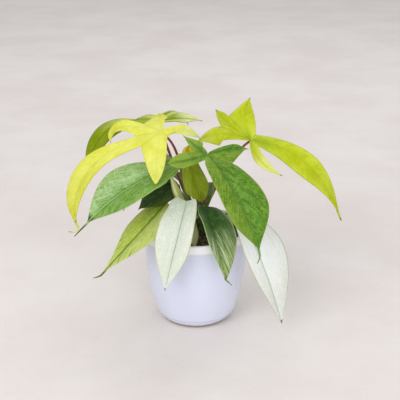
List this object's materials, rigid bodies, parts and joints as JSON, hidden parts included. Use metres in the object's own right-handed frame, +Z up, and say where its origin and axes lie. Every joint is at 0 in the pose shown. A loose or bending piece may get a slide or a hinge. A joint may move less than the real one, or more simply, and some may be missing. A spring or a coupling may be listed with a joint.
{
  "type": "potted philodendron",
  "caption": "Short climbing house plant with deeply lobed, arching leaves in lime, green and near-white, standing in soil in a round white glazed pot.",
  "frame": {"origin": "middle of the flat underside of the pot", "axes": "+Z up along the pot's axis, -Y towards the front of the plant, +X to its right, across its widest spread"},
  "size_m": [0.3172, 0.2154, 0.2664],
  "materials": {
    "white_glaze": "smooth gloss glaze, white with a faint lavender tint",
    "potting_mix": "dark crumbly potting mix of bark and coir",
    "stem_skin": "ringed green-brown stem",
    "new_leaf_skin": "smooth rolled leaf, pale green",
    "leaf_lime": "thin satin leaf, lime yellow",
    "leaf_yellow_green": "thin satin leaf, yellow green",
    "leaf_olive": "thin satin leaf, olive green",
    "leaf_green": "thin satin leaf, mid green with pale flecks",
    "leaf_dark": "thin satin leaf, dark green",
    "leaf_pale": "thin satin leaf, near white with green veins",
    "stalk_red": "smooth red-brown leaf stalk",
    "stalk_green": "smooth green leaf stalk"
  },
  "bodies": {
    "root": {"pot": "white_glaze", "soil": "potting_mix", "main_stem": "stem_skin", "new_leaf": "new_leaf_skin", "lime_left_blade": "leaf_lime", "lime_left_stalk": "stalk_red", "olive_back_blade": "leaf_olive", "olive_back_stalk": "stalk_red", "green_left_blade": "leaf_green", "green_left_stalk": "stalk_green", "lime_right_blade": "leaf_yellow_green", "lime_right_stalk": "stalk_red", "green_right_blade": "leaf_green", "green_right_stalk": "stalk_green", "olive_low_blade": "leaf_olive", "olive_low_stalk": "stalk_green", "white_front_blade": "leaf_pale", "white_front_stalk": "stalk_green", "dark_front_blade": "leaf_dark", "dark_front_stalk": "stalk_green", "white_right_blade": "leaf_pale", "white_right_stalk": "stalk_green", "young_olive_blade": "leaf_olive", "young_olive_stalk": "stalk_red", "small_pale_blade": "leaf_pale", "small_pale_stalk": "stalk_green", "dark_low_blade": "leaf_dark", "dark_low_stalk": "stalk_green", "back_left_blade": "leaf_green", "back_left_stalk": "stalk_green", "back_right_blade": "leaf_green", "back_right_stalk": "stalk_green", "back_middle_blade": "leaf_dark", "back_middle_stalk": "stalk_green"}
  },
  "joints": []
}
